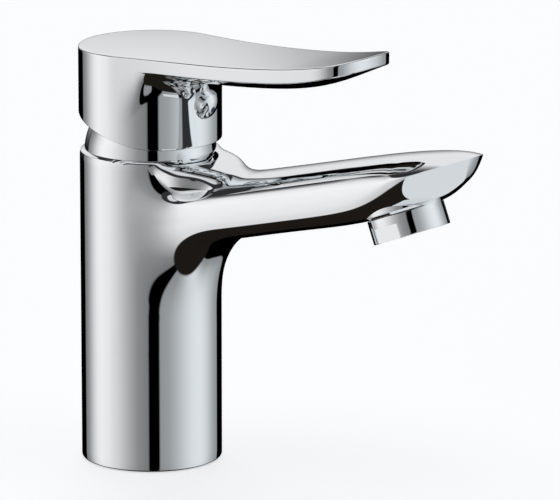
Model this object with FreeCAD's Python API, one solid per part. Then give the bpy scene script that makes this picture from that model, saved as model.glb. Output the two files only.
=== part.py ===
"""Single-lever basin mixer, built the way the real one comes apart on a bench.

Millimetres, +Z up.  The origin is the centre of the base face, and the spout points along -Y.
"Reach" is the distance from the body's axis towards the spout end, so a point at reach r has y = -r.
"""
import FreeCAD, Part
import math
import os

Vec = FreeCAD.Vector
UP = Vec(0, 0, 1)
ORIGIN = Vec(0, 0, 0)

# ------------------------------------------------------------------ driving dimensions
BODY_R = 25.0              # outside radius of the body column
BODY_TOP = 112.4           # height of the rim that the dome ring stands on
RIM_ROUND = 1.6            # rounding of the rim
FOOT_ROUND = 0.8           # rounding round the foot
PIVOT_Z = 110.6            # height of the lever's lift axis, centre of the dome
SKIRT_R = 25.3             # outside radius of the handle's skirt
DOME_R = 23.4              # spherical radius of the dome ring
DOME_GAP = 0.5             # gap between dome and handle
RUN = 0.05                 # radial clearance of a shaft or disc that turns
FIT = 0.1                  # radial clearance of a fixed piece

FOOT_HOLLOW_R = 20.5       # hollow underside, where the hose ends and the stud go in
FOOT_HOLLOW_H = 46.0
GASKET_IN_R = 21.6
GASKET_OUT_R = 23.9
GASKET_H = 2.0

STUD_R = 3.4               # M8 thread, core radius
INLET_R = 4.5              # M10x1 thread, core radius
THREAD_DEPTH = 12.0
STUD_REACH = 11.0
INLET_X = 8.5
INLET_REACH = -5.0
PASSAGE_R = 3.5
OUTLET_REACH = 8.5

CHAMBER_R = 17.7           # chamber for a 35 mm cartridge
CHAMBER_FLOOR = 79.0
NUT_BORE_R = 20.5
SHOULDER_Z = 106.0         # the nut presses on the cartridge here

# Heights of the cartridge's parts, each from its lower to its upper face.
BASE_Z = (80.0, 86.0)
FIXED_Z = (86.0, 90.0)
MOVING_Z = (90.05, 93.4)
CARRIER_Z = (93.4, 101.2)
ROTOR_Z = (101.6, 113.2)
NECK_TOP = 113.4
PORTS = ((-INLET_X, -INLET_REACH), (INLET_X, -INLET_REACH), (0, -OUTLET_REACH))

SWING = 45.0               # the handle swings this many degrees to each side
SWING_STOP_AT = SWING + 9.5

OUTLET_TILT = 21.5         # degrees, outlet axis leans out from vertical
AERATOR_REACH = 112.1      # outlet axis where it leaves the spout
AERATOR_Z = 105.8
AERATOR_R = 13.6
AERATOR_SHOWN = 8.5        # height of the housing below the spout
THREAD_M24_R = 11.9
THREAD_M24_L = 6.0
FLAT_ACROSS = 12.7         # half the distance across the wrench flats
FLAT_HEIGHT = 5.2
FLAT_TURN = 35.0           # degrees, the flats' turn round the outlet axis

LIFT_PIN_R = 1.5
STEM_HALF = 4.0            # the stem is 8 mm square
STEM_TOP = 142.0
STEM_FOOT = 97.6           # flat end of the stem, in the disc carrier
CARRIER_ARM = 11.2         # lift axis to the middle of the stem's rounded foot
FOOT_BALL_R = 3.4
POCKET_HALF = 3.6

PLUG_R = 5.0
PLUG_TILT = 20.0           # degrees, the plug looks down by this much
PLUG_REACH = 26.1
PLUG_Z = 130.3
PLUG_PROUD = 2.3           # height of the domed face over the plug's centre
PLUG_DOME_R = 7.5          # the face is domed to this radius
PLUG_SHANK_R = 3.5
PLUG_SHANK_L = 5.6
PLUG_SEAT_DEPTH = 1.5      # the plug's pocket in the skirt
DOT_R = 1.0
DOT_DEPTH = 0.6
SCREW_TIP = -22.5          # inner end of the grub screw, on the plug's axis
SCREW_LENGTH = 10.0
KEY_R = 1.44               # hexagon socket, centre to corner

# Spout stations: reach, half width, underside, side line, top, edge sharpness.
# Sharpness 0.5 is a round side, 1 is a crease.  The first three flare into the column.
SPOUT_STATIONS = (
    (10.0, 20.6, 56.0, 86.0, 112.3, 0.50),
    (25.0, 19.6, 66.0, 91.0, 112.3, 0.50),
    (32.0, 18.9, 76.0, 94.4, 110.8, 0.50),
    (40.0, 18.4, 83.4, 97.0, 109.0, 0.50),
    (52.0, 18.1, 88.6, 98.6, 110.9, 0.50),
    (80.0, 17.9, 95.6, 105.2, 118.3, 0.50),
    (104.0, 17.7, 102.2, 112.8, 124.2, 0.52),
    (118.0, 17.6, 107.6, 120.3, 127.3, 0.70),
    (127.0, 16.3, 111.4, 123.6, 129.0, 0.90),
    (134.0, 13.1, 116.4, 126.2, 129.5, 1.00),
    (138.5, 9.2, 121.9, 127.9, 129.5, 1.00),
    (141.0, 5.0, 126.4, 128.8, 129.3, 1.00),
)
SPOUT_FILLET = 8.0

# Lever stations: reach, top, side wall, keel below the side wall's lower edge.
LEVER_STATIONS = (
    (-30.0, 148.9, 4.9, 3.0),
    (0.0, 149.6, 4.9, 4.0),
    (44.0, 150.6, 4.9, 4.4),
    (70.0, 152.6, 4.9, 4.0),
    (84.0, 154.6, 4.6, 2.6),
    (93.0, 156.3, 4.1, 1.2),
    (102.0, 158.3, 3.6, 0.3),
)
# Plan outline of the lever: where it leaves the skirt, then reach and half width.
LEVER_LEAVES = 4.5
LEVER_OUTLINE = ((12.0, 23.75), (24.0, 22.2), (40.0, 20.9), (60.0, 19.6), (76.0, 18.5), (86.0, 17.6))
LEVER_TIP = 98.6
LEVER_CORNER = (95.5, 12.6)


def tube(radius, z_low, z_high, centre=(0.0, 0.0)):
    """Upright cylinder between two heights."""
    return Part.makeCylinder(radius, z_high - z_low, Vec(centre[0], centre[1], z_low), UP)


def ring(r_in, r_out, z_low, z_high, centre=(0.0, 0.0)):
    """Upright ring between two radii and two heights."""
    return tube(r_out, z_low, z_high, centre).cut(tube(r_in, z_low - 1, z_high + 1, centre))


def block(x_half, reach_low, reach_high, z_low, z_high):
    """Box centred on the plane x = 0, given by reach and height."""
    corner = Vec(-x_half, -reach_high, z_low)
    return Part.makeBox(2 * x_half, reach_high - reach_low, z_high - z_low, corner)


def revolve(profile):
    """Solid of revolution about Z from (radius, height) points."""
    points = [Vec(r, 0, z) for r, z in profile]
    face = Part.Face(Part.makePolygon(points + points[:1]))
    return face.revolve(ORIGIN, UP, 360)


def o_ring(radius, section, z, centre=(0.0, 0.0)):
    """Round rubber ring of a given mean radius and section radius."""
    return Part.makeTorus(radius, section, Vec(centre[0], centre[1], z), UP)


def sphere(radius):
    """Sphere centred on the lever's lift axis."""
    return Part.makeSphere(radius, Vec(0, 0, PIVOT_Z))


def fused(shapes):
    """One shape from several, with leftover seams taken out."""
    whole = shapes[0]
    for shape in shapes[1:]:
        whole = whole.fuse(shape)
    return whole.removeSplitter()


def try_fillet(shape, radius, wanted):
    """Round the edges that wanted(edge) picks, or return the shape as it was."""
    edges = [edge for edge in shape.Edges if wanted(edge)]
    if not edges:
        return shape
    try:
        rounded = shape.makeFillet(radius, edges)
    except Exception:
        return shape
    return rounded if rounded.isValid() and rounded.Volume > 0 else shape


# ------------------------------------------------------------------ spout
def spout_section(reach, half_width, z_low, z_side, z_high, sharpness):
    """Closed upright section of the spout: a crown and a belly that meet at the two sides."""
    steps = 16
    crown = []
    belly = []
    for i in range(steps + 1):
        across = math.cos(math.pi * i / steps)
        swell = max(0.0, 1 - abs(across) ** 2.3) ** sharpness
        crown.append(Vec(half_width * across, -reach, z_side + (z_high - z_side) * swell))
        belly.append(Vec(-half_width * across, -reach, z_side - (z_side - z_low) * swell))
    edges = []
    for line in (crown, belly):
        curve = Part.BSplineCurve()
        curve.interpolate(line)
        edges.append(curve.toShape())
    return Part.Wire(edges)


def spout_shape():
    """Outside of the spout, from inside the column to the tip."""
    wires = [spout_section(*station) for station in SPOUT_STATIONS]
    return Part.makeLoft(wires, True, False)


def outlet_frame():
    """Foot point and unit axis of the outlet, pointing out of the spout."""
    tilt = math.radians(OUTLET_TILT)
    foot = Vec(0, -AERATOR_REACH, AERATOR_Z)
    axis = Vec(0, -math.sin(tilt), -math.cos(tilt))
    return foot, axis


def outlet_disc(radius, low, high):
    """Cylinder on the outlet axis; low and high are measured outwards from the spout's boss."""
    foot, axis = outlet_frame()
    return Part.makeCylinder(radius, high - low, foot + axis * low, axis)


def outlet_ring(r_in, r_out, low, high):
    """Ring on the outlet axis."""
    return outlet_disc(r_out, low, high).cut(outlet_disc(r_in, low - 1, high + 1))


# ------------------------------------------------------------------ body
def is_rim(z):
    """Picks the outer circle of the column at a height."""
    def wanted(edge):
        box = edge.BoundBox
        flat = box.ZLength < 0.01 and abs(box.ZMin - z) < 0.01
        return flat and abs(box.XMax - BODY_R) < 0.01
    return wanted


def is_spout_root(edge):
    """Picks the line where the spout leaves the column."""
    middle = edge.valueAt((edge.FirstParameter + edge.LastParameter) / 2)
    on_column = abs(math.hypot(middle.x, middle.y) - BODY_R) < 0.05
    return on_column and middle.y < -3 and edge.BoundBox.ZLength > 0.5 and 60 < middle.z < 111


def water_ways():
    """The hollows that carry water, as solids to take out of the casting."""
    hollows = []
    for side in (-1, 1):
        place = (side * INLET_X, -INLET_REACH)
        hollows.append(tube(INLET_R, FOOT_HOLLOW_H - 1, FOOT_HOLLOW_H + THREAD_DEPTH, place))
        hollows.append(tube(PASSAGE_R, FOOT_HOLLOW_H, CHAMBER_FLOOR + 1, place))
    # mixed water: down through the floor, forward under it, up in front of the chamber
    riser_out = BODY_R - 2.2
    riser_in = CHAMBER_R + 1.6
    hollows.append(tube(PASSAGE_R, 66.0, CHAMBER_FLOOR + 1, (0, -OUTLET_REACH)))
    cross = block(6.0, OUTLET_REACH - PASSAGE_R, 30.0, 66.0, 72.0)
    hollows.append(cross.common(tube(riser_out, 60.0, 80.0)))
    riser = ring(riser_in, riser_out, 66.0, 98.0)
    hollows.append(riser.common(block(9.0, 10.0, 30.0, 60.0, 100.0)))
    foot, axis = outlet_frame()
    start = Vec(0, -(riser_in + 1.0), 92.5)
    corner = foot - axis * 11.5
    hollows.append(Part.makeCylinder(5.0, (corner - start).Length, start, corner - start))
    hollows.append(Part.makeSphere(6.0, corner))
    hollows.append(outlet_disc(6.0, -11.5, 0))
    hollows.append(outlet_disc(THREAD_M24_R - 0.3, -THREAD_M24_L - 2.0, 1))
    return hollows


def body():
    """Brass casting: column, spout, cartridge chamber, water ways and fixing holes."""
    column = tube(BODY_R, 0, BODY_TOP)
    column = try_fillet(column, RIM_ROUND, is_rim(BODY_TOP))
    column = try_fillet(column, FOOT_ROUND, is_rim(0))
    whole = column.fuse(spout_shape())
    whole = try_fillet(whole, SPOUT_FILLET, is_spout_root)
    whole = whole.fuse(outlet_disc(AERATOR_R + 0.7, -7.0, 0))
    whole = whole.cut(outlet_disc(AERATOR_R + 0.3, 0, 4.0))
    cuts = [tube(FOOT_HOLLOW_R, -1, FOOT_HOLLOW_H), ring(GASKET_IN_R, GASKET_OUT_R, -1, GASKET_H)]
    cuts.append(tube(STUD_R, FOOT_HOLLOW_H - 1, FOOT_HOLLOW_H + THREAD_DEPTH, (0, -STUD_REACH)))
    cuts.append(tube(CHAMBER_R, CHAMBER_FLOOR, BODY_TOP + 1))
    cuts.append(tube(NUT_BORE_R, SHOULDER_Z, BODY_TOP + 1))
    for hollow in cuts + water_ways():
        whole = whole.cut(hollow)
    return whole


def base_gasket():
    """Flat rubber ring in the groove of the foot."""
    return ring(GASKET_IN_R + FIT, GASKET_OUT_R - FIT, 0, GASKET_H)


# ------------------------------------------------------------------ cartridge
def cartridge_base():
    """Plastic foot of the cartridge with its three ports and two locating pips."""
    plate = tube(CHAMBER_R - FIT, BASE_Z[0], BASE_Z[1])
    for place in PORTS:
        plate = plate.cut(tube(PASSAGE_R, BASE_Z[0] - 1, BASE_Z[1] + 1, place))
        plate = plate.cut(ring(PASSAGE_R + 0.7, PASSAGE_R + 2.3, BASE_Z[1] - 1.5, BASE_Z[1] + 1, place))
    return plate.cut(ring(16.2, CHAMBER_R + 1, 82.0, 84.4))


def port_seals():
    """Three rubber sleeves between the chamber floor and the cartridge foot."""
    sleeves = [ring(PASSAGE_R + 0.1, PASSAGE_R + 1.7, CHAMBER_FLOOR, BASE_Z[0], place) for place in PORTS]
    return Part.makeCompound(sleeves)


def chamber_seal():
    """Rubber ring round the cartridge foot."""
    return ring(16.2, CHAMBER_R - 0.05, 82.1, 84.3)


def disc_seal():
    """Three moulded rubber rings under the fixed ceramic disc."""
    rings = [ring(PASSAGE_R + 0.8, PASSAGE_R + 2.2, BASE_Z[1] - 1.5, BASE_Z[1], place) for place in PORTS]
    return Part.makeCompound(rings)


def cartridge_housing():
    """Plastic shell of the cartridge, wide below the shoulder and narrow at the neck."""
    profile = [
        (16.8, BASE_Z[1]), (CHAMBER_R - FIT, BASE_Z[1]), (CHAMBER_R - FIT, SHOULDER_Z - 2.0),
        (15.6, SHOULDER_Z), (15.6, NECK_TOP), (14.0, NECK_TOP), (14.0, 104.4), (16.0, 104.4),
        (16.0, FIXED_Z[0] + 2.0), (16.8, FIXED_Z[0] + 2.0),
    ]
    return revolve(profile)


def fixed_disc():
    """Lower ceramic disc with two inlet slots and the outlet."""
    disc = tube(15.9, FIXED_Z[0], FIXED_Z[1])
    for place in PORTS:
        disc = disc.cut(tube(PASSAGE_R, FIXED_Z[0] - 1, FIXED_Z[1] + 1, place))
    return disc


def moving_disc():
    """Upper ceramic disc with the mixing pocket in its underside."""
    low, high = MOVING_Z
    disc = tube(10.4, low, high)
    pocket = block(5.2, -3.6, 6.6, low - 1, low + 1.9)
    ears = [block(1.6, -9.0, -6.0, low + 1.6, high + 1), block(1.6, 6.0, 9.0, low + 1.6, high + 1)]
    disc = disc.cut(pocket)
    for ear in ears:
        disc = disc.cut(ear)
    return disc


def disc_carrier():
    """Plastic carrier that the stem's foot pushes, keyed into the moving disc."""
    low, high = CARRIER_Z
    carrier = tube(10.4, low, high)
    for key in (block(1.5, -8.9, -6.1, low - 1.6, low), block(1.5, 6.1, 8.9, low - 1.6, low)):
        carrier = carrier.fuse(key)
    pocket = block(POCKET_HALF, -POCKET_HALF, POCKET_HALF, STEM_FOOT - 0.6, high + 1)
    return carrier.cut(pocket)


def rotor():
    """Swivel of the cartridge: turns in the neck, carries the lift pin and guides the stem."""
    low, high = ROTOR_Z
    core = fused([tube(14.0 - RUN, low, high), tube(15.8, low, 104.2)])
    core = core.cut(block(4.25, -9.0, 11.5, low - 1, high + 1))
    bore = Part.makeCylinder(LIFT_PIN_R, 40, Vec(-20, 0, PIVOT_Z), Vec(1, 0, 0))
    core = core.cut(bore)
    lug = block(1.9, 11.9, 15.4, high, high + 1.9).common(ring(11.9, 13.6, high, high + 1.9))
    return fused([core, lug])


def lift_pin():
    """Steel pin through the rotor and the stem."""
    half = 13.2
    return Part.makeCylinder(LIFT_PIN_R, 2 * half, Vec(-half, 0, PIVOT_Z), Vec(1, 0, 0))


def swing_stop():
    """Plastic ring clipped on the neck; its two lugs end the handle's swing."""
    low = NECK_TOP
    stop = ring(13.9, 15.5, low, low + 1.7)
    slab = ring(11.9, 14.2, low, low + 1.7)
    opening = Part.makeCylinder(20, 4, Vec(0, 0, low - 1), UP, 2 * SWING_STOP_AT)
    opening.rotate(ORIGIN, UP, -90 - SWING_STOP_AT)
    back = block(20.0, -20.0, 3.0, low - 1, low + 3)
    return fused([stop, slab.cut(opening).cut(back)])


def cartridge_stem():
    """Square brass stem with a rounded foot and the cross hole for the lift pin."""
    square = block(STEM_HALF, -STEM_HALF, STEM_HALF, 104.0, STEM_TOP)
    throat = tube(FOOT_BALL_R - 0.4, PIVOT_Z - CARRIER_ARM, 105.0)
    foot = Part.makeSphere(FOOT_BALL_R, Vec(0, 0, PIVOT_Z - CARRIER_ARM))
    foot = foot.common(block(5.0, -5.0, 5.0, STEM_FOOT, 110.0))
    stem = fused([square, throat, foot])
    bore = Part.makeCylinder(LIFT_PIN_R + RUN, 40, Vec(-20, 0, PIVOT_Z), Vec(1, 0, 0))
    return stem.cut(bore)


def cartridge_nut():
    """Brass nut that holds the cartridge down, with a hexagon above the rim."""
    nut = tube(NUT_BORE_R - FIT, SHOULDER_Z, BODY_TOP)
    flats = Part.makeBox(60, 34.0, 20, Vec(-30, -17.0, BODY_TOP - 4))
    hexagon = tube(18.8, BODY_TOP, BODY_TOP + 4.4)
    for turn in (0, 60, 120):
        pair = flats.copy()
        pair.rotate(ORIGIN, UP, turn)
        hexagon = hexagon.common(pair)
    nut = fused([nut, hexagon])
    return nut.cut(tube(15.7, SHOULDER_Z - 1, BODY_TOP + 10))


# ------------------------------------------------------------------ dome ring and handle
def dome_ring():
    """Chromed dome that covers the nut; the handle glides over it."""
    ball = sphere(DOME_R).cut(sphere(DOME_R - 1.5))
    dome = ball.common(tube(30, BODY_TOP, 129.0))
    sleeve = ring(19.2, 22.6, BODY_TOP, 117.6).common(sphere(DOME_R - 1.0))
    return fused([dome, sleeve]).cut(tube(14.0, 100, 140))


def lever_section(reach, z_top, wall, keel):
    """Closed upright section of the lever: crowned top, straight sides, deeper keel underneath."""
    half = 30.0
    z_low = z_top - wall
    top = Part.Arc(Vec(half, -reach, z_top), Vec(0, -reach, z_top + 0.5), Vec(-half, -reach, z_top)).toShape()
    corner_r = Vec(half, -reach, z_low)
    corner_l = Vec(-half, -reach, z_low)
    low = Part.Arc(corner_l, Vec(0, -reach, z_low - keel), corner_r).toShape()
    left = Part.LineSegment(Vec(-half, -reach, z_top), corner_l).toShape()
    right = Part.LineSegment(corner_r, Vec(half, -reach, z_top)).toShape()
    return Part.Wire([top, left, low, right])


def lever_outline():
    """Upright prism over the handle's plan outline: skirt circle, long sides, rounded front."""
    def side(sign):
        root = (LEVER_LEAVES, math.sqrt(SKIRT_R ** 2 - LEVER_LEAVES ** 2) - 0.02)
        curve = Part.BSplineCurve()
        curve.interpolate([Vec(sign * w, -r, 0) for r, w in (root,) + LEVER_OUTLINE])
        return curve.toShape(), Vec(sign * root[1], -root[0], 0)
    right, root_right = side(1)
    left, root_left = side(-1)
    edges = [right, left, Part.LineSegment(root_left, root_right).toShape()]
    last = LEVER_OUTLINE[-1]
    corner_reach, corner_half = LEVER_CORNER
    for sign in (-1, 1):
        shoulder = Vec(sign * (last[1] - 0.7), -(last[0] + 4.5), 0)
        middle = Vec(sign * (corner_half + 3.0), -(corner_reach - 1.6), 0)
        corner = Vec(sign * corner_half, -corner_reach, 0)
        edges.append(Part.LineSegment(Vec(sign * last[1], -last[0], 0), shoulder).toShape())
        edges.append(Part.Arc(shoulder, middle, corner).toShape())
    edges.append(Part.Arc(Vec(-corner_half, -corner_reach, 0), Vec(0, -LEVER_TIP, 0),
                          Vec(corner_half, -corner_reach, 0)).toShape())
    prism = Part.Face(Part.Wire(Part.__sortEdges__(edges))).extrude(Vec(0, 0, 80))
    prism.translate(Vec(0, 0, 100))
    return prism


def skirt_cut():
    """What is taken away below the skirt: level in front, rising towards the back."""
    front_z = 116.3
    level = [(-60.0, 90.0), (60.0, 90.0), (60.0, front_z), (16.0, front_z), (12.0, 116.75), (8.0, 117.7)]
    rise = 0.28
    outline = [Vec(-60, -r, z) for r, z in level + [(-60.0, 117.7 + rise * 68.0)]]
    return Part.Face(Part.makePolygon(outline + outline[:1])).extrude(Vec(120, 0, 0))


def plug_axis():
    """Centre of the index plug on the skirt, and the unit axis pointing out of the skirt."""
    tilt = math.radians(PLUG_TILT)
    return Vec(0, -PLUG_REACH, PLUG_Z), Vec(0, -math.cos(tilt), -math.sin(tilt))


def plug_disc(radius, low, high):
    """Cylinder on the plug's axis, measured outwards from the skirt."""
    centre, axis = plug_axis()
    return Part.makeCylinder(radius, high - low, centre + axis * low, axis)


def handle():
    """Chromed handle: flat lever and skirt in one casting, hollowed to a ball that clears the dome."""
    lever = Part.makeLoft([lever_section(*station) for station in LEVER_STATIONS], True, False)
    column = tube(SKIRT_R, 100.0, 180.0).cut(skirt_cut())
    below_top = lever.copy()
    below_top.translate(Vec(0, 0, -4.0))
    arm = lever.common(lever_outline())
    head = column.common(fused([lever, below_top, tube(SKIRT_R + 1, 100.0, 147.0)]))
    whole = fused([head, arm])
    whole = whole.cut(sphere(DOME_R + DOME_GAP))
    socket = block(STEM_HALF + 0.05, -STEM_HALF - 0.05, STEM_HALF + 0.05, 120, STEM_TOP + 0.3)
    whole = whole.cut(socket)
    whole = whole.cut(plug_disc(2.5, -24.0, 0))
    whole = whole.cut(plug_disc(PLUG_SHANK_R + FIT, -PLUG_SHANK_L - 0.4, 4.0))
    return whole.cut(plug_disc(PLUG_R + FIT, -PLUG_SEAT_DEPTH, 6.0))


def handle_screw():
    """Hexagon socket grub screw that clamps the handle to the stem."""
    screw = plug_disc(2.45, SCREW_TIP, SCREW_TIP + SCREW_LENGTH)
    centre, axis = plug_axis()
    across = Vec(1, 0, 0)
    up = axis.cross(across)
    socket_floor = centre + axis * (SCREW_TIP + SCREW_LENGTH - 3.0)
    key = []
    for i in range(6):
        angle = math.radians(60 * i)
        key.append(socket_floor + across * (KEY_R * math.cos(angle)) + up * (KEY_R * math.sin(angle)))
    hexagon = Part.Face(Part.makePolygon(key + key[:1])).extrude(axis * 4.0)
    return screw.cut(hexagon)


def index_plug():
    """Domed chromed plug over the screw hole, with a seat for the marker."""
    centre, axis = plug_axis()
    ball = Part.makeSphere(PLUG_DOME_R, centre + axis * (PLUG_PROUD - PLUG_DOME_R))
    cap = ball.common(plug_disc(PLUG_R, 0.2 - PLUG_SEAT_DEPTH, PLUG_PROUD + 1))
    plug = fused([cap, plug_disc(PLUG_SHANK_R, -PLUG_SHANK_L, 0.0)])
    seat = plug_disc(DOT_R + 0.05, PLUG_PROUD - DOT_DEPTH, PLUG_PROUD + 1)
    return plug.cut(seat).cut(plug_disc(PLUG_SHANK_R - 1.3, -PLUG_SHANK_L - 1, -2.0))


def index_dot():
    """Enamel marker in the middle of the plug."""
    return plug_disc(DOT_R, PLUG_PROUD - DOT_DEPTH, PLUG_PROUD - 0.05)


# ------------------------------------------------------------------ aerator
def aerator_housing():
    """Chromed housing: M24 thread inside the spout, round skirt with two wrench flats below."""
    skirt = outlet_disc(AERATOR_R, 0, AERATOR_SHOWN)
    shell = skirt.fuse(outlet_disc(THREAD_M24_R - 0.4, -THREAD_M24_L, 1))
    shell = shell.cut(outlet_disc(10.4, -THREAD_M24_L - 1, 6.8))
    shell = shell.cut(outlet_disc(9.4, -THREAD_M24_L - 1, AERATOR_SHOWN + 1))
    foot, axis = outlet_frame()
    rim = FreeCAD.Placement(foot + axis * AERATOR_SHOWN, FreeCAD.Rotation(UP, axis * -1))
    for turn in (FLAT_TURN, FLAT_TURN + 180):
        flat = Part.makeBox(30, 10, FLAT_HEIGHT, Vec(-15, FLAT_ACROSS, 0))
        flat.rotate(ORIGIN, UP, turn)
        flat.Placement = rim.multiply(flat.Placement)
        shell = shell.cut(flat)
    return shell


def aerator_insert():
    """Plastic insert: cup with a ring of air slots."""
    cup = outlet_ring(8.6, 10.3, -5.0, 6.7)
    plate = outlet_disc(9.0, 0.6, 2.0)
    foot, axis = outlet_frame()
    for i in range(12):
        angle = math.radians(30 * i)
        up = axis.cross(Vec(1, 0, 0))
        spot = foot + (Vec(1, 0, 0) * math.cos(angle) + up * math.sin(angle)) * 6.2
        plate = plate.cut(Part.makeCylinder(0.9, 6, spot - axis * 2, axis))
    return fused([cup, plate])


def flow_regulator():
    """Plastic star that limits the flow, seated on the insert's plate."""
    return fused([outlet_ring(3.0, 8.5, -1.8, 0.5), outlet_disc(3.2, -1.8, -1.0)])


def aerator_screen():
    """Outlet grid: thin plate with a square pattern of holes."""
    grid = outlet_disc(8.5, 4.6, 5.4)
    foot, axis = outlet_frame()
    up = axis.cross(Vec(1, 0, 0))
    pitch = 1.9
    for i in range(-4, 5):
        for j in range(-4, 5):
            if math.hypot(i, j) * pitch > 7.2:
                continue
            spot = foot + Vec(1, 0, 0) * (i * pitch) + up * (j * pitch) + axis * 4
            grid = grid.cut(Part.makeCylinder(0.72, 3, spot, axis))
    return grid


def aerator_gasket():
    """Flat rubber ring between the spout's seat and the aerator."""
    return outlet_ring(8.4, THREAD_M24_R - 0.4, -THREAD_M24_L - 1.9, -THREAD_M24_L)


NODES = {
    "body": body,
    "base_gasket": base_gasket,
    "cartridge_base": cartridge_base,
    "port_seals": port_seals,
    "chamber_seal": chamber_seal,
    "disc_seal": disc_seal,
    "cartridge_housing": cartridge_housing,
    "fixed_disc": fixed_disc,
    "moving_disc": moving_disc,
    "disc_carrier": disc_carrier,
    "rotor": rotor,
    "lift_pin": lift_pin,
    "swing_stop": swing_stop,
    "cartridge_stem": cartridge_stem,
    "cartridge_nut": cartridge_nut,
    "dome_ring": dome_ring,
    "handle": handle,
    "handle_screw": handle_screw,
    "index_plug": index_plug,
    "index_dot": index_dot,
    "aerator_housing": aerator_housing,
    "aerator_insert": aerator_insert,
    "flow_regulator": flow_regulator,
    "aerator_screen": aerator_screen,
    "aerator_gasket": aerator_gasket,
}


def main():
    """Write one STEP file for each piece."""
    os.makedirs("parts", exist_ok=True)
    for name, make in NODES.items():
        shape = make()
        print(f"{name:18s} solids {len(shape.Solids)} valid {shape.isValid()} volume {shape.Volume:10.1f}")
        shape.exportStep(f"parts/{name}.step")


if __name__ == "__main__":
    main()
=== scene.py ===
"""Looks of a single-lever basin mixer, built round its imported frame.

The chromed skins are drawn here as smooth quad meshes in millimetres; everything inside keeps its
CAD shape and gets a finish.  "Reach" is the distance from the column's axis towards the outlet,
so a point at reach r has y = -r.
"""

import logging
import math
from dataclasses import dataclass
from enum import Enum

import bmesh
import bpy
import numpy as np
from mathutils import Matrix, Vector


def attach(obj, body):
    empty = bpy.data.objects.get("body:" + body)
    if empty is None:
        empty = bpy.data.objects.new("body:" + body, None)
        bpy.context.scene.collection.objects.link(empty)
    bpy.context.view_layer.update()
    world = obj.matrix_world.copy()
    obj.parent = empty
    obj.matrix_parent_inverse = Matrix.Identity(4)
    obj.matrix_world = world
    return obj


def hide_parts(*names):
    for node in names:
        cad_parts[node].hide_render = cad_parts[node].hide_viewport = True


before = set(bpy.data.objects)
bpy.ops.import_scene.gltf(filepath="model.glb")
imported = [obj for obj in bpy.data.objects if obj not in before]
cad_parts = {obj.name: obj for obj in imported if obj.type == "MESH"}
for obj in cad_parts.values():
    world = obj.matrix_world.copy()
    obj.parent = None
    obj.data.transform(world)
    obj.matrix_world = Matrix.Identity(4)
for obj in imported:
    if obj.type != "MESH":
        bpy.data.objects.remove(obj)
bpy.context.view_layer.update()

MM = 0.001
LOG = logging.getLogger("mixer")
Points = np.ndarray
Stations = tuple[tuple[float, float], ...]
Profile = list[tuple[float, float]]
Colour = tuple[float, float, float]
Tone = tuple[float, float, float, int]


class Body(Enum):
    """The rigid bodies that skins ride on."""

    BASE = "base"
    LEVER = "lever"


# ---------------------------------------------------------------- curves and grids
def smooth_line(stations: Stations, at: Points) -> Points:
    """Natural cubic curve through a few stations.

    Args:
        stations: pairs of place and value, in rising order of place.
        at: the places to read.

    Returns:
        The value at each place; past the ends the curve goes on straight.
    """
    xs, ys = (np.array(column, float) for column in zip(*stations))
    gaps = np.diff(xs)
    last = len(xs) - 1
    system = np.eye(last + 1)
    right = np.zeros(last + 1)
    for i in range(1, last):
        system[i, i - 1 : i + 2] = gaps[i - 1], 2 * (gaps[i - 1] + gaps[i]), gaps[i]
        right[i] = 6 * ((ys[i + 1] - ys[i]) / gaps[i] - (ys[i] - ys[i - 1]) / gaps[i - 1])
    bend = np.linalg.solve(system, right)
    at = np.asarray(at, float)
    k = np.clip(np.searchsorted(xs, at) - 1, 0, last - 1)
    u = at - xs[k]
    slope = (ys[k + 1] - ys[k]) / gaps[k] - gaps[k] * (2 * bend[k] + bend[k + 1]) / 6
    value = ys[k] + slope * u + bend[k] / 2 * u**2 + (bend[k + 1] - bend[k]) / (6 * gaps[k]) * u**3
    start = (ys[1] - ys[0]) / gaps[0] - gaps[0] * bend[1] / 6
    end = (ys[-1] - ys[-2]) / gaps[-1] + gaps[-1] * bend[-2] / 6
    value = np.where(at < xs[0], ys[0] + start * (at - xs[0]), value)
    return np.where(at > xs[-1], ys[-1] + end * (at - xs[-1]), value)


def turned(profile: Profile, angles: Points) -> Points:
    """Grid of a turned shape.

    Args:
        profile: (radius, height) points.
        angles: angles round the axis, 0 towards the outlet.

    Returns:
        Points as rows along the profile and columns round the axis.
    """
    r, z = (np.array(column, float)[:, None] for column in zip(*profile))
    return np.stack(np.broadcast_arrays(r * np.sin(angles), -r * np.cos(angles), z), -1)


def rounded(profile: Profile, radius: float, steps: int = 4) -> Profile:
    """The same profile with each inner corner turned into a small arc.

    Args:
        profile: (radius, height) points.
        radius: how far from the corner each arc starts.
        steps: pieces of each arc.

    Returns:
        The rounded profile.
    """
    made = [profile[0]]
    for before, corner, after in zip(profile, profile[1:], profile[2:]):
        c = np.array(corner)
        arms = [np.array(before) - c, np.array(after) - c]
        reach = min(radius, 0.45 * np.linalg.norm(arms[0]), 0.45 * np.linalg.norm(arms[1]))
        a, b = (c + reach * arm / np.linalg.norm(arm) for arm in arms)
        for t in np.linspace(0, 1, steps + 1):
            made.append(tuple((1 - t) ** 2 * a + 2 * t * (1 - t) * c + t**2 * b))
    return made + [profile[-1]]


def arc_points(radius: float, centre: float, angles: Points) -> Profile:
    """(radius, height) points of a ball round a centre on the axis, angles from the axis."""
    return [(radius * math.sin(a), centre + radius * math.cos(a)) for a in angles]


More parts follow.
